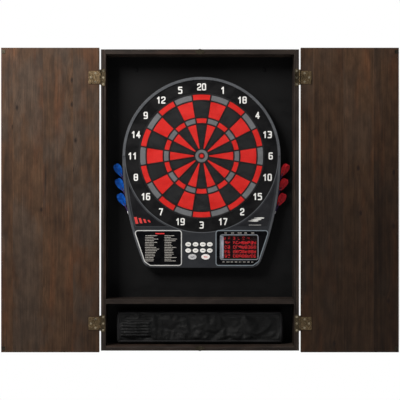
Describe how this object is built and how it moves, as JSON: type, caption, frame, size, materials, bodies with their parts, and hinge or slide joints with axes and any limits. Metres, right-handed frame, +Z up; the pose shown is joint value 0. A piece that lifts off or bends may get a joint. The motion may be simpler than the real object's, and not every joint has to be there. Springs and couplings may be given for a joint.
{
  "type": "dart board cabinet",
  "caption": "Wall-hung wooden two-door cabinet holding an electronic soft-tip dart board, stored darts and a fabric pouch in a bay below.",
  "frame": {"origin": "centre of the four wall-screw holes, in the plane of the wall behind the cabinet", "axes": "+X to the viewer's right along the cabinet's width with both doors open, +Y into the wall, +Z up"},
  "size_m": [1.241, 0.0963, 0.95],
  "materials": {
    "stained_wood": "satin stained",
    "black_board": "matte painted",
    "screw_steel": "zinc plated",
    "antique_brass": "antique",
    "catch_metal": "bronzed",
    "housing_plastic": "fine texture",
    "rear_plastic": "fine texture",
    "white_plastic": "printed",
    "black_bed": "satin",
    "red_bed": "satin",
    "grey_bed": "satin",
    "web_plastic": "matte",
    "overlay_print": "printed film",
    "silver_trim": "silver painted",
    "lens_acrylic": "tinted",
    "display_red": "printed",
    "circuit_board": "solder mask",
    "switch_rubber": "matte",
    "speaker_black": "matte",
    "jack_black": "satin",
    "button_white": "satin",
    "sleeve_plastic": "matte",
    "dart_blue": "glossy film",
    "dart_red": "glossy film",
    "pouch_fabric": "woven nylon"
  },
  "bodies": {
    "cabinet": {"left_side_panel": "stained_wood", "right_side_panel": "stained_wood", "top_panel": "stained_wood", "bottom_panel": "stained_wood", "divider_shelf": "stained_wood", "back_panel": "black_board", "hanging_rails": "black_board", "carcass_screws": "screw_steel", "magnetic_catches": "catch_metal", "frame_hinge_leaves": "antique_brass", "hinge_pins": "antique_brass", "frame_leaf_screws": "antique_brass", "rear_cover": "rear_plastic", "front_bezel": "housing_plastic", "numerals": "white_plastic", "spider": "web_plastic", "switch_sheet": "switch_rubber", "control_board": "circuit_board", "display_module": "display_red", "display_lens": "lens_acrylic", "panel_overlays": "overlay_print", "panel_trims": "silver_trim", "speaker": "speaker_black", "power_jack": "jack_black", "housing_screws": "screw_steel", "hanging_screws": "screw_steel", "dart_sleeves": "sleeve_plastic", "storage_pouch": "pouch_fabric"},
    "left_door": {"left_door_panel": "stained_wood", "left_door_leaves": "antique_brass", "left_leaf_screws": "antique_brass", "left_door_knob": "antique_brass", "left_door_strikes": "catch_metal"},
    "right_door": {"right_door_panel": "stained_wood", "right_door_leaves": "antique_brass", "right_leaf_screws": "antique_brass", "right_door_knob": "antique_brass", "right_door_strikes": "catch_metal"},
    "select_button_1": {"select_button_1": "button_white"},
    "select_button_2": {"select_button_2": "button_white"},
    "select_button_3": {"select_button_3": "button_white"},
    "select_button_4": {"select_button_4": "button_white"},
    "option_button_1": {"option_button_1": "button_white"},
    "option_button_2": {"option_button_2": "button_white"},
    "option_button_3": {"option_button_3": "button_white"},
    "option_button_4": {"option_button_4": "button_white"},
    "power_button": {"power_button": "button_white"},
    "start_button": {"start_button": "button_white"},
    "left_dart_1": {"left_dart_1": "dart_blue"},
    "left_dart_2": {"left_dart_2": "dart_blue"},
    "left_dart_3": {"left_dart_3": "dart_blue"},
    "right_dart_1": {"right_dart_1": "dart_red"},
    "right_dart_2": {"right_dart_2": "dart_red"},
    "right_dart_3": {"right_dart_3": "dart_red"},
    "red_single_beds": {"red_single_beds": "red_bed"},
    "black_single_beds": {"black_single_beds": "black_bed"},
    "red_ring_beds": {"red_ring_beds": "red_bed"},
    "grey_ring_beds": {"grey_ring_beds": "grey_bed"},
    "outer_bull": {"outer_bull": "grey_bed"},
    "inner_bull": {"inner_bull": "red_bed"}
  },
  "joints": [
    {"name": "left_door_hinge", "type": "hinge", "parent": "cabinet", "child": "left_door", "pos_m": [-0.311, -0.0938, 0], "axis": [0, 0, 1], "range_deg": [0, 180]},
    {"name": "right_door_hinge", "type": "hinge", "parent": "cabinet", "child": "right_door", "pos_m": [0.311, -0.0938, 0], "axis": [0, 0, -1], "range_deg": [0, 180]},
    {"name": "select_button_1_press", "type": "slide", "parent": "cabinet", "child": "select_button_1", "axis": [0, 1, 0], "range_m": [0, 0.0015], "stiffness_N_per_m": 300},
    {"name": "select_button_2_press", "type": "slide", "parent": "cabinet", "child": "select_button_2", "axis": [0, 1, 0], "range_m": [0, 0.0015], "stiffness_N_per_m": 300},
    {"name": "select_button_3_press", "type": "slide", "parent": "cabinet", "child": "select_button_3", "axis": [0, 1, 0], "range_m": [0, 0.0015], "stiffness_N_per_m": 300},
    {"name": "select_button_4_press", "type": "slide", "parent": "cabinet", "child": "select_button_4", "axis": [0, 1, 0], "range_m": [0, 0.0015], "stiffness_N_per_m": 300},
    {"name": "option_button_1_press", "type": "slide", "parent": "cabinet", "child": "option_button_1", "axis": [0, 1, 0], "range_m": [0, 0.0015], "stiffness_N_per_m": 300},
    {"name": "option_button_2_press", "type": "slide", "parent": "cabinet", "child": "option_button_2", "axis": [0, 1, 0], "range_m": [0, 0.0015], "stiffness_N_per_m": 300},
    {"name": "option_button_3_press", "type": "slide", "parent": "cabinet", "child": "option_button_3", "axis": [0, 1, 0], "range_m": [0, 0.0015], "stiffness_N_per_m": 300},
    {"name": "option_button_4_press", "type": "slide", "parent": "cabinet", "child": "option_button_4", "axis": [0, 1, 0], "range_m": [0, 0.0015], "stiffness_N_per_m": 300},
    {"name": "power_button_press", "type": "slide", "parent": "cabinet", "child": "power_button", "axis": [0, 1, 0], "range_m": [0, 0.0015], "stiffness_N_per_m": 300},
    {"name": "start_button_press", "type": "slide", "parent": "cabinet", "child": "start_button", "axis": [0, 1, 0], "range_m": [0, 0.0015], "stiffness_N_per_m": 300},
    {"name": "red_single_beds_press", "type": "slide", "parent": "cabinet", "child": "red_single_beds", "axis": [0, 1, 0], "range_m": [0, 0.001], "stiffness_N_per_m": 2500},
    {"name": "black_single_beds_press", "type": "slide", "parent": "cabinet", "child": "black_single_beds", "axis": [0, 1, 0], "range_m": [0, 0.001], "stiffness_N_per_m": 2500},
    {"name": "red_ring_beds_press", "type": "slide", "parent": "cabinet", "child": "red_ring_beds", "axis": [0, 1, 0], "range_m": [0, 0.001], "stiffness_N_per_m": 2500},
    {"name": "grey_ring_beds_press", "type": "slide", "parent": "cabinet", "child": "grey_ring_beds", "axis": [0, 1, 0], "range_m": [0, 0.001], "stiffness_N_per_m": 2500},
    {"name": "outer_bull_press", "type": "slide", "parent": "cabinet", "child": "outer_bull", "axis": [0, 1, 0], "range_m": [0, 0.001], "stiffness_N_per_m": 400},
    {"name": "inner_bull_press", "type": "slide", "parent": "cabinet", "child": "inner_bull", "axis": [0, 1, 0], "range_m": [0, 0.001], "stiffness_N_per_m": 400},
    {"name": "left_dart_1_draw", "type": "slide", "parent": "cabinet", "child": "left_dart_1", "axis": [-0.454, 0, 0.891], "range_m": [0, 0.018]},
    {"name": "left_dart_2_draw", "type": "slide", "parent": "cabinet", "child": "left_dart_2", "axis": [-0.454, 0, 0.891], "range_m": [0, 0.003]},
    {"name": "left_dart_3_draw", "type": "slide", "parent": "cabinet", "child": "left_dart_3", "axis": [-0.454, 0, 0.891], "range_m": [0, 0.003]},
    {"name": "right_dart_1_draw", "type": "slide", "parent": "cabinet", "child": "right_dart_1", "axis": [0.454, 0, 0.891], "range_m": [0, 0.018]},
    {"name": "right_dart_2_draw", "type": "slide", "parent": "cabinet", "child": "right_dart_2", "axis": [0.454, 0, 0.891], "range_m": [0, 0.003]},
    {"name": "right_dart_3_draw", "type": "slide", "parent": "cabinet", "child": "right_dart_3", "axis": [0.454, 0, 0.891], "range_m": [0, 0.003]}
  ]
}
